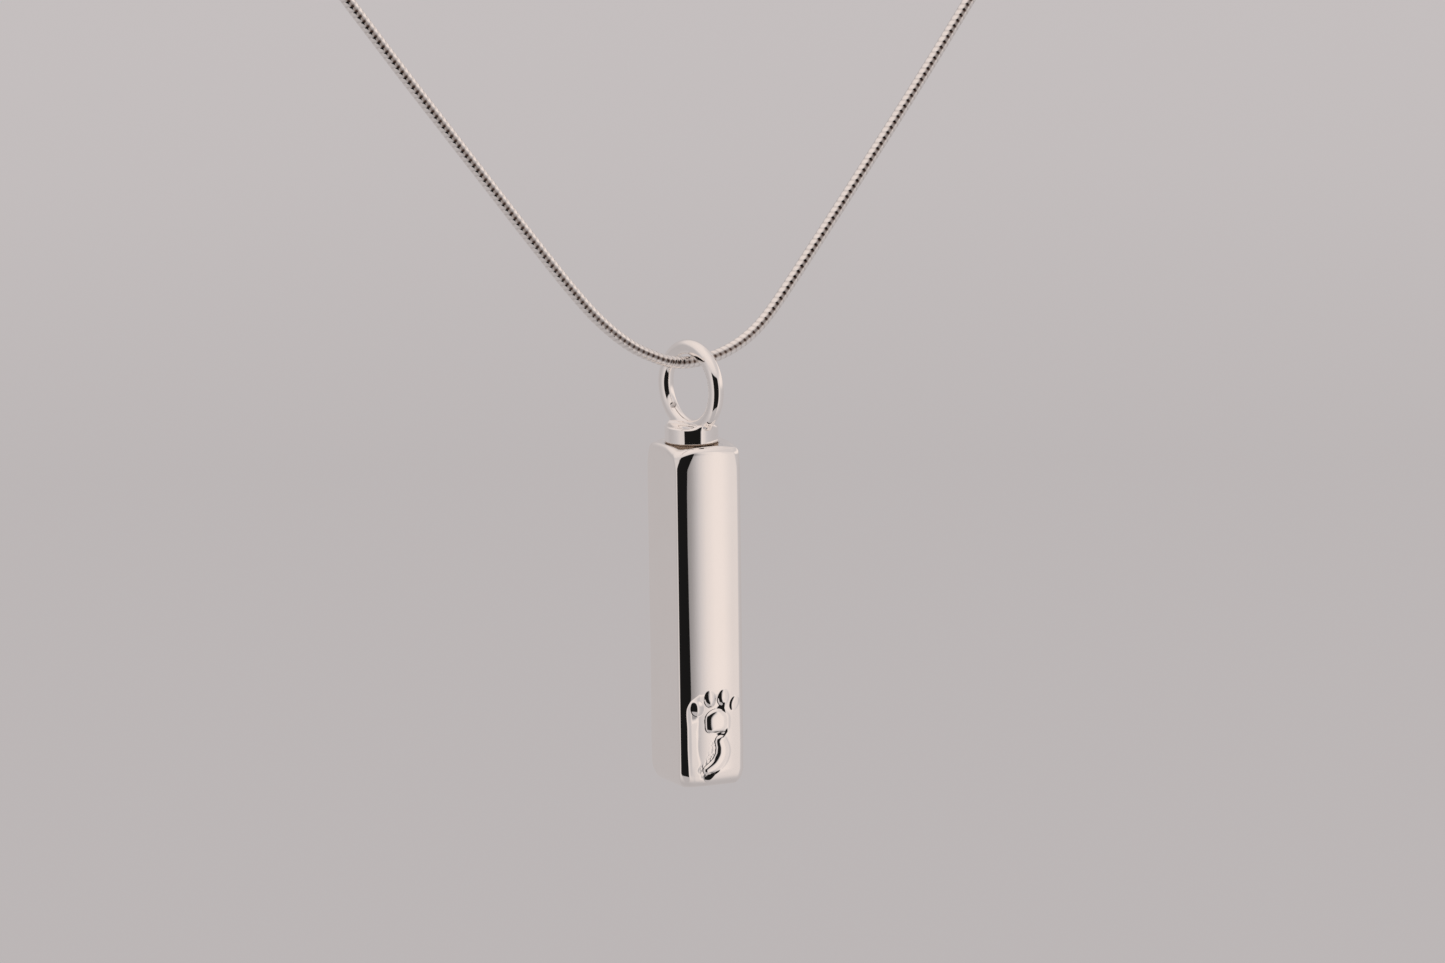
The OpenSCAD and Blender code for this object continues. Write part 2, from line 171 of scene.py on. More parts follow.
def make_mesh(name, points, faces, material, body):
    """A named mesh piece in metres, with its material, riding on a CAD body."""
    mesh = bpy.data.meshes.new(name)
    mesh.from_pydata([tuple(p) for p in points], [], [tuple(f) for f in faces])
    mesh.validate()
    mesh.update()
    mesh.polygons.foreach_set("use_smooth", [True] * len(mesh.polygons))
    mesh.materials.append(material)
    piece = bpy.data.objects.new(name, mesh)
    bpy.context.scene.collection.objects.link(piece)
    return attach(piece, body)


def loop_faces(rows, count, close_rows=False):
    """Quads between rings of points with the same count; close_rows joins the last ring to the first."""
    faces = []
    last = rows if close_rows else rows - 1
    for i in range(last):
        a, b = i * count, ((i + 1) % rows) * count
        for j in range(count):
            k = (j + 1) % count
            faces.append((a + j, a + k, b + k, b + j))
    return faces


def capped_faces(rows, count):
    """Quads between rings of points, and one face over each end."""
    last = (rows - 1) * count
    return loop_faces(rows, count) + [tuple(range(count))[::-1], tuple(range(last, last + count))]


def turned_over(faces):
    """The same faces, looking the other way."""
    return [face[::-1] for face in faces]


def lathe_points(profile, count):
    """Rings of points for a profile of (radius, height), in millimetres, turned about Z."""
    angle = np.arange(count) * 2 * math.pi / count
    rings = [np.stack([r * np.cos(angle), r * np.sin(angle), np.full(count, z)], 1) for r, z in profile]
    return np.concatenate(rings)


def arc(mid, r, start, end, steps):
    """Points on an arc of a profile, angles in degrees."""
    angles = np.radians(np.linspace(start, end, steps + 1))
    return [(mid[0] + r * math.cos(a), mid[1] + r * math.sin(a)) for a in angles]


def fade_in(value, start, end):
    """0 up to start, 1 from end on, and smooth between them."""
    t = np.clip((value - start) / (end - start), 0, 1)
    return t * t * (3 - 2 * t)


def fade_out(value, start, end):
    """1 up to start, 0 from end on, and smooth between them."""
    return 1 - fade_in(value, start, end)


def smooth_route(route, spacing):
    """The route with points between its own, on the same curve as the CAD tube, in millimetres."""
    out = []
    for i in range(len(route) - 1):
        b, c = np.array(route[i], float), np.array(route[i + 1], float)
        a = 2 * b - c if i == 0 else np.array(route[i - 1], float)
        d = 2 * c - b if i == len(route) - 2 else np.array(route[i + 2], float)
        steps = max(1, round(float(np.linalg.norm(c - b)) / spacing))
        for t in np.arange(steps) / steps:
            out.append(0.5 * (
                2 * b + (c - a) * t + (2 * a - 5 * b + 4 * c - d) * t ** 2
                + (3 * b - a - 3 * c + d) * t ** 3
            ))
    out.append(np.array(route[-1], float))
    return np.array(out)


# ---------- materials ----------


def new_material(name):
    """An empty node material with a Principled shader; returns the material, its nodes, links and shader."""
    material = bpy.data.materials.new(name)
    material.use_nodes = True
    nodes, links = material.node_tree.nodes, material.node_tree.links
    return material, nodes, links, nodes["Principled BSDF"]


def noise(nodes, links, scale, detail, stretch=(1, 1, 1)):
    """A noise texture in the object's own space, with the pattern's size set by scale."""
    coords = nodes.new("ShaderNodeTexCoord")
    mapping = nodes.new("ShaderNodeMapping")
    mapping.inputs["Scale"].default_value = stretch
    texture = nodes.new("ShaderNodeTexNoise")
    texture.inputs["Scale"].default_value = scale
    texture.inputs["Detail"].default_value = detail
    links.new(coords.outputs["Object"], mapping.inputs["Vector"])
    links.new(mapping.outputs["Vector"], texture.inputs["Vector"])
    return texture.outputs["Fac"]


def spread(nodes, links, value, low, high):
    """Maps a 0 to 1 value to a range."""
    ranged = nodes.new("ShaderNodeMapRange")
    ranged.inputs["To Min"].default_value = low
    ranged.inputs["To Max"].default_value = high
    links.new(value, ranged.inputs["Value"])
    return ranged.outputs["Result"]


def mix_colours(nodes, links, value, first, second):
    """The first colour where a value is 0, the second where it is 1, and a blend between."""
    ramp = nodes.new("ShaderNodeValToRGB")
    ramp.color_ramp.elements[0].color = (*first, 1)
    ramp.color_ramp.elements[1].color = (*second, 1)
    links.new(value, ramp.inputs["Fac"])
    return ramp.outputs["Color"]


def bump(nodes, links, value, distance, strength, shader):
    """Raises the shader's surface by distance, in metres, where a value is 1."""
    node = nodes.new("ShaderNodeBump")
    node.inputs["Distance"].default_value = distance
    node.inputs["Strength"].default_value = strength
    links.new(value, node.inputs["Height"])
    links.new(node.outputs["Normal"], shader.inputs["Normal"])


def silver(name, bright, dull, roughness, scratch):
    """Polished silver: faint cloudy tone, hair-fine polishing marks, roughness that drifts a little."""
    material, nodes, links, shader = new_material(name)
    shader.inputs["Metallic"].default_value = 1.0
    cloud = noise(nodes, links, 350, 3)
    hairs = noise(nodes, links, 9000, 2, (1, 1, 0.06))
    links.new(mix_colours(nodes, links, cloud, dull, bright), shader.inputs["Base Color"])
    links.new(spread(nodes, links, cloud, *roughness), shader.inputs["Roughness"])
    bump(nodes, links, hairs, 2e-6, scratch, shader)
    return material


def silver_with_painted_shade(name, clean, dark):
    """Silver darkened where the mesh's value of painted shade is high."""
    material = silver(name, clean, tuple(0.93 * c for c in clean), (0.07, 0.12), 0.1)
    nodes, links = material.node_tree.nodes, material.node_tree.links
    shader = nodes["Principled BSDF"]
    shade_attribute = nodes.new("ShaderNodeAttribute")
    shade_attribute.attribute_name = "painted_shade"
    blend = nodes.new("ShaderNodeMix")
    blend.data_type = "RGBA"
    blend.inputs["B"].default_value = (*dark, 1)
    links.new(shade_attribute.outputs["Fac"], blend.inputs["Factor"])
    links.new(shader.inputs["Base Color"].links[0].from_socket, blend.inputs["A"])
    links.new(blend.outputs["Result"], shader.inputs["Base Color"])
    return material


def soft_stuff(name, first, second, scale, stretch, roughness, depth):
    """Parchment, thread or rubber: two tones in a grain that can be drawn out, with a matching bump."""
    material, nodes, links, shader = new_material(name)
    grain = noise(nodes, links, scale, 5, stretch)
    links.new(mix_colours(nodes, links, grain, first, second), shader.inputs["Base Color"])
    links.new(spread(nodes, links, grain, *roughness), shader.inputs["Roughness"])
    bump(nodes, links, grain, depth, 0.6, shader)
    return material


POLISHED = silver("polished_silver", (0.97, 0.945, 0.925), (0.94, 0.915, 0.89), (0.03, 0.06), 0.05)
TURNED = silver("turned_silver", (0.93, 0.905, 0.885), (0.88, 0.855, 0.83), (0.1, 0.18), 0.25)
STEEL = silver("spring_steel", (0.62, 0.62, 0.63), (0.5, 0.5, 0.52), (0.18, 0.3), 0.3)
# the chain's silver goes towards near black where shade is painted in its seams and side lines
CHAIN_SILVER = silver_with_painted_shade("chain_silver", (0.96, 0.93, 0.905), (0.07, 0.04, 0.03))
RUBBER = soft_stuff("seal_rubber", (0.40, 0.28, 0.20), (0.52, 0.39, 0.29), 4000, (1, 1, 1), (0.5, 0.7), 4e-6)
PARCHMENT = soft_stuff(
    "parchment", (0.62, 0.50, 0.34), (0.80, 0.70, 0.52), 900, (1, 1, 0.4), (0.65, 0.85), 8e-6)
THREAD = soft_stuff("tie_thread", (0.25, 0.03, 0.03), (0.42, 0.07, 0.06), 3500, (1, 1, 3), (0.75, 0.9), 2e-5)


# ---------- case ----------


def toe_reach(x, h):
    """For each toe, how far out in it a point is: 0 in its middle, 1 at its edge."""
    shares = []
    for (tx, th), tilt, (wide, tall) in zip(TOES, TOE_TILT, TOE_HALF):
        a = math.radians(tilt)
        u = (x - tx) * math.cos(a) + (h - th) * math.sin(a)
        v = (h - th) * math.cos(a) - (x - tx) * math.sin(a)
        shares.append(np.hypot(u / wide, v / tall))
    return shares


def ball_reach(x, h):
    """The same for the ball pad, which is an ellipse at its top (power 2) and squarer at its foot."""
    u, v = (x - BALL_MID[0]) / BALL_HALF[0], (h - BALL_MID[1]) / BALL_HALF[1]
    power = 3.2 - 1.2 * np.tanh(2 * v)
    return (np.abs(u) ** power + np.abs(v) ** power) ** (1 / power)


def heel_reach(x, h):
    """The same for the heel, a band of changing width along its route."""
    route = smooth_route(HEEL_ROUTE, 0.06)
    along = np.linspace(0, len(HEEL_HALF) - 1, len(route))
    half = np.interp(along, range(len(HEEL_HALF)), HEEL_HALF)
    return np.min(np.hypot(x[..., None] - route[:, 0], h[..., None] - route[:, 1]) / half, axis=-1)


def footprint_pads(x, h):
    """(how far out in the pad a point is, how far its ground spreads, its flatness) for every pad."""
    toe_ground, ball_ground, heel_ground = GROUND_REACH
    pads = [(share, toe_ground, flatness) for share, flatness in zip(toe_reach(x, h), TOE_FLATNESS)]
    pads.append((ball_reach(x, h), ball_ground, BALL_FLATNESS))
    pads.append((heel_reach(x, h), heel_ground, HEEL_FLATNESS))
    return pads


def ground_share(x, h):
    """How deep the ground round the pads is: 0 on the front face, 1 close to a pad."""
    sunk = footprint_pads(x + GROUND_SHIFT[0], h + GROUND_SHIFT[1])
    del sunk[len(TOES) - 1]         # the toe at the right stands on the front face itself
    hollow = np.hypot((x - HOLLOW_MID[0]) / HOLLOW_HALF[0], (h - HOLLOW_MID[1]) / HOLLOW_HALF[1])
    sunk.append((hollow, HOLLOW_HALF[0], 1))
    near = sum(np.exp((1 - share) * reach / GROUND_BLEND) for share, reach, _ in sunk)
    gap = -GROUND_BLEND * np.log(near + 1e-12)
    left = np.interp(x, LEFT_SLOPE_AT, (1, 0))
    slope = GROUND_SLOPE + (np.interp(h, *zip(*LEFT_SLOPE)) - GROUND_SLOPE) * left
    lowered = GROUND_TOP_TILT[1] * np.minimum(x - GROUND_TOP_TILT[0], 0)
    return fade_out(gap, 0, slope) * fade_out(h - lowered, *GROUND_TOP) * fade_in(x, *GROUND_LEFT)


def stipple(x, h):
    """Depth of the punch marks beside the heel, irregular because each sine bends the other."""
    marks = np.sin(41 * x + 3 * np.sin(17 * h)) * np.sin(37 * h + 2 * np.sin(23 * x))
    return STIPPLE * marks * fade_out(heel_reach(x, h), *STIPPLE_REACH) * fade_out(h, *STIPPLE_TOP)


def relief_depth(x, h):
    """How far the footprint is sunk below the front face, in millimetres."""
    rise = np.max([1 - np.minimum(share, 1) ** flat for share, _, flat in footprint_pads(x, h)], axis=0)
    return ground_share(x, h) * (1 - rise) * (RELIEF_DEPTH + stipple(x, h)) - PADS_PROUD * rise


def turned(points, angle):
    """Points in the plane, turned anticlockwise about the origin."""
    c, s = math.cos(angle), math.sin(angle)
    return np.stack([points[:, 0] * c - points[:, 1] * s, points[:, 0] * s + points[:, 1] * c], 1)


def case_outline(half, wear, drawn_in):
    """Points of a bulging square with round corners, drawn in by some distance, anticlockwise from the
    left end of the front. The left side is filed flat, a little out of square, which takes off the first
    part of the front left corner and leaves a sharp edge there."""
    radii = [max(r * wear - drawn_in, 0.05) for r in CASE_CORNERS]
    bulge = CASE_CROWN / (2 * half)
    half = half - drawn_in
    tilt = math.radians(SIDE_TURN)
    outward = np.array((-math.cos(tilt), -math.sin(tilt)))
    middle = (half - radii[3]) * (math.cos(tilt) + math.sin(tilt))
    sharp_edge = tilt + math.acos(min(1, (SIDE_REACH - drawn_in - middle) / radii[3]))
    points = []
    for side, steps in enumerate(SIDE_STEPS):
        begin = sharp_edge if side == 3 else 0      # angle at which the corner after this side begins
        before, after = radii[side - 1], radii[side]
        along = np.linspace(before - half, half - after * (1 - math.sin(begin)), steps, endpoint=False)
        bend = np.linspace(begin, math.pi / 2, CORNER_STEPS, endpoint=False)
        face = np.stack([along, np.full(steps, -half)], 1)
        corner = np.stack([half - after + after * np.sin(bend), after - half - after * np.cos(bend)], 1)
        points.append(turned(np.concatenate([face, corner]), side * math.pi / 2))
    points = np.concatenate(points)
    points *= 1 + bulge * (half ** 2 - points[:, ::-1] ** 2)
    beyond = np.maximum(points @ outward - SIDE_REACH + drawn_in, 0)
    return points - beyond[:, None] * outward


def faces_front(outline):
    """Which points of a closed outline, anticlockwise, face the front to within about 37 degrees."""
    before, after = outline - np.roll(outline, 1, 0), np.roll(outline, -1, 0) - outline
    before /= np.linalg.norm(before, axis=1)[:, None]
    after /= np.linalg.norm(after, axis=1)[:, None]
    run = before + after
    return run[:, 0] / np.linalg.norm(run, axis=1) > 0.8


def case_levels(height):
    """(height above the foot, how far the outline is drawn in), close together over the footprint."""
    foot_in, foot_up = CASE_FOOT
    top_in, top_down = CASE_TOP
    foot_bend, top_bend = np.radians(np.linspace(90, 2, 40)), np.radians(np.linspace(0, 90, 15))
    foot = [(foot_up * (1 - math.sin(p)), foot_in * (1 - math.cos(p))) for p in foot_bend]
    body = [(h, 0.0) for h in np.arange(foot_up, RELIEF_TOP, RING_SPACING)]
    upper = [(h, 0.0) for h in np.linspace(RELIEF_TOP, height - top_down - 0.02, 80)]
    top = [(height - top_down * (1 - math.sin(p)), top_in * (1 - math.cos(p))) for p in top_bend]
    return foot + body + upper + top


def case_skin(half, foot, top):
    """Rings of points from the middle of the foot, up the outside, to the rim of the top."""
    height = top - foot
    heights, wears = zip(*CASE_WEAR)
    rows = []
    for h, drawn_in in case_levels(height):
        outline = case_outline(half, float(np.interp(h, heights, wears)), drawn_in)
        points = outline + (CASE_LEAN, 0)
        points[:, 1] += np.where(faces_front(outline), relief_depth(points[:, 0], np.full(len(points), h)), 0)
        worn = sum(drop * np.exp(-((points - (x, y)) ** 2).sum(1)) for x, y, drop in WORN_CORNERS)
        worn *= fade_in(h, height - WORN_DEPTH, height)
        rows.append(np.column_stack([points, h + foot - worn]))
    return [rows[0] * (share, share, 1) for share in FOOT_RINGS] + rows


def build_case():
    """The bar with the footprint in its front, drilled for the neck's bush and the chamber below it."""
    low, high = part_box("case_shell")
    foot, top = low.z / MM, high.z / MM
    rows = case_skin((high.x - low.x) / 2 / MM, foot, top)
    neck_low, neck_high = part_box("neck_bush")
    neck_r, neck_foot = (neck_high.x - neck_low.x) / 2 / MM + NECK_GAP, neck_low.z / MM
    floor = foot + CHAMBER_FLOOR
    drilled = [(neck_r + NECK_EDGE, top), (neck_r, top - NECK_EDGE), (neck_r, neck_foot)]
    drilled += [(CHAMBER_R, neck_foot), (CHAMBER_R, floor + CHAMBER_EDGE)]
    drilled += [(CHAMBER_R - CHAMBER_EDGE, floor), (CHAMBER_MID_R, floor)]
    angle = np.arctan2(rows[-1][:, 1], rows[-1][:, 0])
    rows += [np.stack([r * np.cos(angle), r * np.sin(angle), np.full(len(angle), z)], 1) for r, z in drilled]
    faces = capped_faces(len(rows), len(angle))
    case = make_mesh("case_body", np.concatenate(rows) * MM, faces, POLISHED, "case")
    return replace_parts(case, "case_shell")


# ---------- screw plug and bail ring ----------


def fillet(gap, reach):
    """How far a surface is filled out where another one is this far from it."""
    near = np.clip(gap, reach / 4, reach)
    return reach + near - 2 * np.sqrt(reach * near)


def solder_height(x, y, z, collar_top):
    """How far the solder stands above the collar, highest against the bail ring."""
    turn = math.radians(CHAIN_TURN)
    along = x * math.cos(turn) + y * math.sin(turn)
    across = -x * math.sin(turn) + y * math.cos(turn)
    wire_height = collar_top + across ** 2 / BAIL_RING_D - BAIL_SINK - z
    return fillet(np.hypot(along, wire_height) - BAIL_WIRE_D / 2, SOLDER_REACH)


def thread_shell(start):
    """Points and faces of the plug's one helical ridge, which thins out at both ends."""
    steps = THREAD_TURNS * THREAD_STEPS
    root_r, root_half = SHANK_ROOT_R + RIDGE_ROOT[0], RIDGE_ROOT[1]
    points = []
    for i in range(steps + 1):
        angle, z = i * 2 * math.pi / THREAD_STEPS, start + THREAD_PITCH * i / THREAD_STEPS
        ends = min(1.0, i / THREAD_FADE, (steps - i) / THREAD_FADE)
        crest_r = SHANK_ROOT_R + (SHANK_CREST_R - SHANK_ROOT_R) * ends
        section = [(root_r, -root_half), (crest_r, -RIDGE_CREST_HALF)]
        section += [(crest_r, RIDGE_CREST_HALF), (root_r, root_half)]
        points += [(r * math.cos(angle), r * math.sin(angle), z + lift) for r, lift in section]
    return points, turned_over(capped_faces(steps + 1, 4))


def collar_profile(top, foot, r):
    """The collar's top and side as (radius, height), with many rings on the top for the solder."""
    profile = [(share * (r - COLLAR_EDGE), top) for share in np.linspace(0.01, 1, 24)]
    profile += arc((r - COLLAR_EDGE, top - COLLAR_EDGE), COLLAR_EDGE, 90, 0, 12)[1:]
    profile += arc((r - COLLAR_FOOT_EDGE, foot + COLLAR_FOOT_EDGE), COLLAR_FOOT_EDGE, 0, -90, 6)
    return profile


def build_plug():
    """Collar with a soft edge and solder on top, shank and one helical ridge of thread round it."""
    low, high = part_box("screw_plug")
    top, tip, r = high.z / MM, low.z / MM, (high.x - low.x) / 2 / MM
    collar_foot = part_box("seal_washer")[1].z / MM
    profile = collar_profile(top, collar_foot, r)
    profile += [(SHANK_ROOT_R + SHANK_ROUND, collar_foot), (SHANK_ROOT_R, collar_foot - SHANK_ROUND)]
    profile += [(SHANK_ROOT_R, tip + TIP_EDGE), (SHANK_ROOT_R - TIP_EDGE, tip), (0.02, tip)]
    points = lathe_points(profile, COLLAR_SIDES)
    crown = points[:, 2] > top - COLLAR_EDGE
    points[crown, 2] += solder_height(*points[crown].T, top)
    faces = turned_over(capped_faces(len(profile), COLLAR_SIDES))
    ridge_points, ridge_faces = thread_shell(tip + THREAD_START)
    faces += [tuple(len(points) + i for i in face) for face in ridge_faces]
    points = np.concatenate([points, ridge_points])
    plug = make_mesh("cap_plug", points * MM, faces, POLISHED, "cap")
    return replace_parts(plug, "screw_plug")


def build_bail():
    """Round ring with solder filled out at its foot, where it stands in the collar."""
    low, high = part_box("bail_ring")
    middle = (low + high) / 2 / MM
    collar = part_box("screw_plug")[1] / MM
    ring_angles = np.radians(np.arange(RING_STEPS) * 360 / RING_STEPS)
    wire_angles = np.radians(np.arange(WIRE_STEPS) * 360 / WIRE_STEPS)
    turn, wire = (grid.ravel() for grid in np.meshgrid(ring_angles, wire_angles, indexing="ij"))
    swell = np.zeros(turn.shape)
    for _ in range(2):
        wire_r = BAIL_WIRE_D / 2 + swell
        ring_r, out = BAIL_RING_D / 2 + wire_r * np.cos(wire), wire_r * np.sin(wire)
        up, across = ring_r * np.sin(turn) + middle.z, ring_r * np.cos(turn)
        beyond_top = up - collar.z + COLLAR_EDGE
        beyond_side = np.hypot(out, across) - collar.x + COLLAR_EDGE
        gap = np.hypot(np.maximum(beyond_top, 0), np.maximum(beyond_side, 0)) - COLLAR_EDGE
        swell = fillet(gap, SOLDER_ON_RING)
    points = [chain_plane(*p) for p in zip(out, up, across)]
    faces = turned_over(loop_faces(RING_STEPS, WIRE_STEPS, close_rows=True))
    bail = make_mesh("bail_loop", points, faces, POLISHED, "cap")
    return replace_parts(bail, "bail_ring")


# ---------- snake chain ----------


def chain_point_grid(line):
    """Rings of points along the chain, ribbed plate by plate, and how much shade is painted on each point, in
    the seams and the sunk line at each side.
    """
    along = np.concatenate([[0], np.cumsum(np.linalg.norm(np.diff(line, axis=0), axis=1))])
    length = along[-1]
    ribs = round(length / CHAIN_PITCH)
    count = ribs * len(RIB_SHAPE) + 1
    around = np.arange(CHAIN_SIDES)[None, :] * 2 * math.pi / CHAIN_SIDES
    swell = np.tile(RIB_SHAPE, ribs + 1)[:count, None]
    seam = np.tile(RIB_SEAM, ribs + 1)[:count, None]
    place = np.clip(np.linspace(0, length, count)[:, None] + PLATE_LEAD * np.cos(2 * around), 0, length)
    steps = (0, RUN_STEP, -RUN_STEP)
    x, ahead_x, behind_x = (np.interp(place + step, along, line[:, 0]) for step in steps)
    z, ahead_z, behind_z = (np.interp(place + step, along, line[:, 1]) for step in steps)
    run_x, run_z = ahead_x - behind_x, ahead_z - behind_z
    size = np.hypot(run_x, run_z)
    twist = np.radians(np.interp(x, *zip(*CHAIN_TWIST)))
    line_share = np.exp(-(np.sin(around + twist) / LINE_HALF) ** 4)
    r = CHAIN_D / 2 * swell * (1 - LINE_DEPTH * line_share)
    side, up = r * np.cos(around), r * np.sin(around)
    places = zip((x - run_z / size * up).ravel(), (z + run_x / size * up).ravel(), side.ravel())
    points = [chain_plane(*place) for place in places]
    on_plate, in_seam = LINE_SHADE
    # painted shade: darker in the seams between plates and in the sunk line along each side
    painted_shade = np.clip(SEAM_SHADE * seam ** 4 + line_share * (on_plate + in_seam * seam), 0, 1)
    return points, painted_shade.ravel(), count, length


def build_chain():
    """Snake chain: a tube of narrow round plates with a sunk line along each side, and shade painted into
    those lines and the seams.
    """
    points, painted_shade, count, length = chain_point_grid(smooth_route(CHAIN_ROUTE, 0.1))
    faces = capped_faces(count, CHAIN_SIDES)
    chain = make_mesh("snake_chain", points, faces, CHAIN_SILVER, "necklace")
    shade_attribute = chain.data.attributes.new("painted_shade", "FLOAT", "POINT")
    shade_attribute.data.foreach_set("value", painted_shade)
    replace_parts(chain, "chain")
    return chain


# ---------- studio ----------


CLOTH_TINT = 0.97           # green and blue over red, of all the studio's cloth
WARM_ABOVE = 200            # brightness above which the cloth is warmer
WARM_FALL = (0.116, 0.256)  # how fast green and blue fall behind red there


def linear(value):
    """Linear light for display levels from 0 to 255."""
    return ((np.asarray(value) / 255 + 0.055) / 1.055) ** 2.4


def build_camera():
    """The camera, placed by its azimuth and elevation round the point that it looks at."""
    a, e, roll = (math.radians(v) for v in (CAMERA_AZIMUTH, CAMERA_ELEVATION, CAMERA_ROLL))
    back = Vector((math.sin(a) * math.cos(e), -math.cos(a) * math.cos(e), math.sin(e)))
    right = Vector((math.cos(a), math.sin(a), 0))
    up = back.cross(right)
    side = right * math.cos(roll) + up * math.sin(roll)
    top = up * math.cos(roll) - right * math.sin(roll)
    turn = Matrix((side, top, back)).transposed()
    data = bpy.data.cameras.new("camera")
    data.lens = CAMERA_LENS
    data.sensor_width = 36
    data.clip_start, data.clip_end = 0.01, 40
    camera = bpy.data.objects.new("camera", data)
    place = Matrix.Translation(Vector(CAMERA_AIM) * MM + back * CAMERA_DISTANCE * MM)
    camera.matrix_world = place @ turn.to_4x4()
    bpy.context.scene.collection.objects.link(camera)
    bpy.context.scene.camera = camera
    return camera


def glow_material(name):
    """Light of the colour stored in the mesh."""
    material = bpy.data.materials.new(name)
    material.use_nodes = True
    nodes, links = material.node_tree.nodes, material.node_tree.links
    nodes.clear()
    colour = nodes.new("ShaderNodeAttribute")
    colour.attribute_name = "glow"
    light = nodes.new("ShaderNodeEmission")
    out = nodes.new("ShaderNodeOutputMaterial")
    links.new(colour.outputs["Color"], light.inputs["Color"])
    links.new(light.outputs["Emission"], out.inputs["Surface"])
    return material


def stage_mesh(name, points, faces, colours, seen):
    """A piece of the studio, lit by the colours stored at its points."""
    mesh = bpy.data.meshes.new(name)
    mesh.from_pydata([tuple(p) for p in points], [], faces)
    mesh.polygons.foreach_set("use_smooth", [True] * len(mesh.polygons))
    glow = mesh.color_attributes.new("glow", "FLOAT_COLOR", "POINT")
    glow.data.foreach_set("color", np.array([(*c, 1.0) for c in colours]).ravel())
    mesh.materials.append(glow_material(name))
    piece = bpy.data.objects.new(name, mesh)
    bpy.context.scene.collection.objects.link(piece)
    piece.visible_camera = seen
    return piece


def shade(stops, value):
    """Linear light of the studio's cloth between stops of (value, brightness from 0 to 255)."""
    red = np.interp(value, *zip(*stops))
    green, blue = (CLOTH_TINT * red - fall * np.maximum(red - WARM_ABOVE, 0) for fall in WARM_FALL)
    return linear(np.stack([red, green, blue], -1))


TENT_BY_AZIMUTH = [         # (degrees from the camera's own azimuth, positive to its right, brightness)
    (-180, 190), (-120, 190), (-108, 183), (-90, 186), (-68, 198), (-50, 217), (-31.2, 216),
    (-30.8, 36), (-28.5, 26), (38, 24), (38.7, 30), (39.1, 128), (40.8, 152), (42.4, 208),
    (43.5, 230), (45, 241), (46.5, 241), (48, 226), (56, 224), (66, 205), (76, 197), (90, 194),
    (115, 190), (180, 190),
]
TENT_BY_ELEVATION = [(-90, 182), (-35, 186), (0, 189), (20, 200), (36, 226), (60, 236), (90, 240)]
SOFTBOX_BY_ELEVATION = [    # the same at the right, where a long low softbox stands
    (-90, 182), (-35, 186), (-10, 189), (2, 236), (8, 246), (16, 243), (27, 208), (45, 212),
    (65, 230), (90, 240),
]
TENT_R = 3.0                # metres, like every length of the studio
OPENING_SPAN = (-31.1, 39.0)        # azimuths of the dark opening's edges
OPENING_MID = (3, -9)       # azimuth and elevation
OPENING_HALF = (60, 35)
OPENING_EDGE = (0.85, 1.0)  # between which it fades out, over the edge of that shape
LEVEL_FOOT = (-80, -30)     # elevations between which the light begins to go by azimuth
LEVEL_TOP = (10, 35)        # and stops doing so
SOFTBOX_TOP = (-10, 3)      # the same at the softbox
SOFTBOX_LEFT = (50, 75)     # azimuths between which the softbox begins
SOFTBOX_RIGHT = (140, 165)  # and ends


def tent_opening(az, el):
    """1 in the dark opening round the camera, 0 well above and below it."""
    off_az, off_el = (az - OPENING_MID[0]) / OPENING_HALF[0], (el - OPENING_MID[1]) / OPENING_HALF[1]
    return fade_out(np.abs(off_el) ** 3 + np.abs(off_az) ** 3, *OPENING_EDGE)


def tent_light(az, el):
    """Light of the cloth, which goes by azimuth at the height of the object and by elevation elsewhere."""
    right = fade_in(az, *SOFTBOX_LEFT) * fade_out(az, *SOFTBOX_RIGHT)
    top_start, top_end = (plain + (box - plain) * right for plain, box in zip(LEVEL_TOP, SOFTBOX_TOP))
    level = fade_in(el, *LEVEL_FOOT) * fade_out(el, top_start, top_end)
    across_it = (az > OPENING_SPAN[0]) & (az < OPENING_SPAN[1])
    share = np.where(across_it, tent_opening(az, el), level)[..., None]
    right = right[..., None]
    heights = shade(TENT_BY_ELEVATION, el) * (1 - right) + shade(SOFTBOX_BY_ELEVATION, el) * right
    return shade(TENT_BY_AZIMUTH, az) * share + heights * (1 - share)


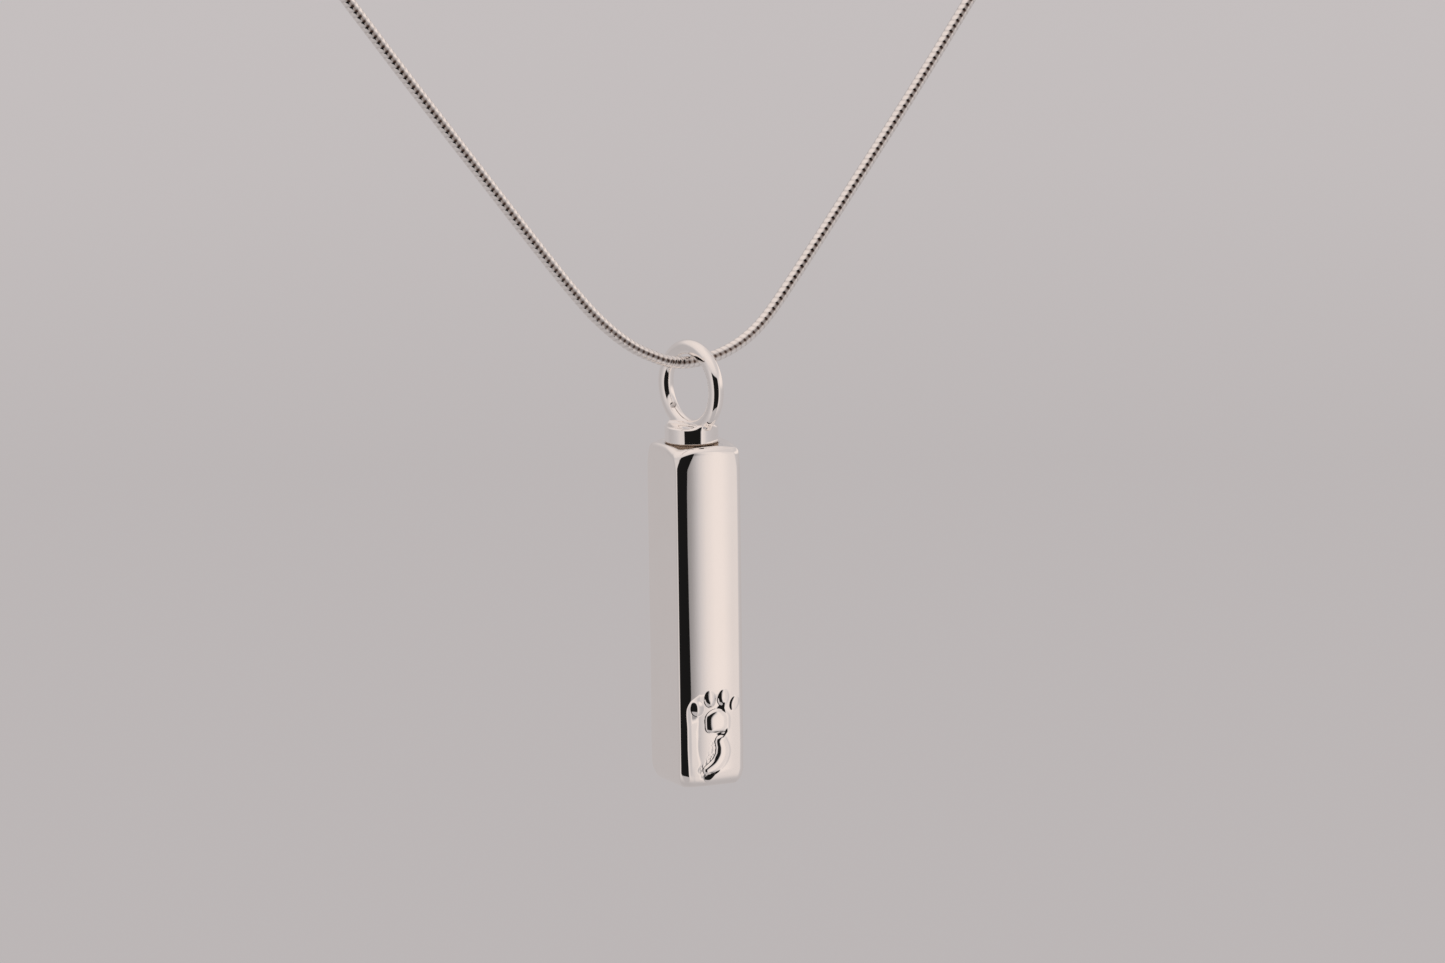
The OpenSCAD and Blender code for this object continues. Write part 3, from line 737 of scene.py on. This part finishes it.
def build_tent():
    """The light tent round the object: pale cloth, brighter above and at the right, with a dark opening
    round the camera. It lights the object and shows in its polish, and the camera doesn't see it. Its
    grid is finer where its light changes fast."""
    azimuths = [np.arange(-180, 36, 3.0), np.arange(36, 60, 0.2), np.arange(60, 180, 3.0)]
    azimuths = np.unique(np.concatenate(azimuths + [np.arange(-34, -31, 0.2)]))
    elevations = [np.arange(-90, 91, 3.0), np.arange(-46, -34, 1), np.arange(18, 28, 1)]
    elevations = np.unique(np.concatenate(elevations))
    az, el = np.meshgrid(azimuths, elevations)
    turn, lift = np.radians(az + CAMERA_AZIMUTH), np.radians(el)
    points = TENT_R * np.stack([np.sin(turn) * np.cos(lift), -np.cos(turn) * np.cos(lift), np.sin(lift)], -1)
    faces = loop_faces(len(elevations), len(azimuths))
    colours = tent_light(az, el).reshape(-1, 3)
    return stage_mesh("light_tent", points.reshape(-1, 3), faces, colours, False)


BACKDROP_BY_HEIGHT = [(-0.75, 188), (-0.38, 188), (-0.25, 196), (0, 200), (1.4, 200)]
FLOOR_Z = -0.75
WALL_R = 2.0
SWEEP_R = 0.6               # of the curve between floor and wall
WALL_SIDES = 96
WORLD_COLOUR = (0.5, 0.48, 0.47, 1)


def build_sweep():
    """Plain pale floor that curves up into a wall all round the object, seen by the camera alone."""
    profile = [(r, FLOOR_Z) for r in (0.001, 0.6, 1.2)]
    profile += arc((WALL_R - SWEEP_R, FLOOR_Z + SWEEP_R), SWEEP_R, -90, 0, 16)
    profile += [(WALL_R, z) for z in (0.3, 0.8, 1.4)]
    points = lathe_points(profile, WALL_SIDES)
    faces = loop_faces(len(profile), WALL_SIDES)
    floor = stage_mesh("floor", points, faces, shade(BACKDROP_BY_HEIGHT, points[:, 2]), True)
    floor.visible_glossy = floor.visible_diffuse = floor.visible_shadow = False
    return floor


def build_studio():
    """Backdrop, tent and a faint even light, shown with plain colours."""
    scene = bpy.context.scene
    scene.view_settings.view_transform = "Standard"
    build_sweep()
    build_tent()
    world = bpy.data.worlds.new("studio_light")
    scene.world = world
    world.use_nodes = True
    world.node_tree.nodes["Background"].inputs["Color"].default_value = WORLD_COLOUR


# ---------- the scene ----------

build_camera()
build_chain()
build_studio()
build_case()
build_plug()
build_bail()

FINISHES = {
    "polished_silver": POLISHED, "plain_silver": TURNED, "chain_silver": CHAIN_SILVER,
    "spring_steel": STEEL, "seal_rubber": RUBBER, "parchment": PARCHMENT, "tie_thread": THREAD,
}
for part in frame["record"]["subparts"]:
    node = frame["nodes"][part["node"]]
    node.data.materials.clear()
    node.data.materials.append(FINISHES[part["material_slot"]])
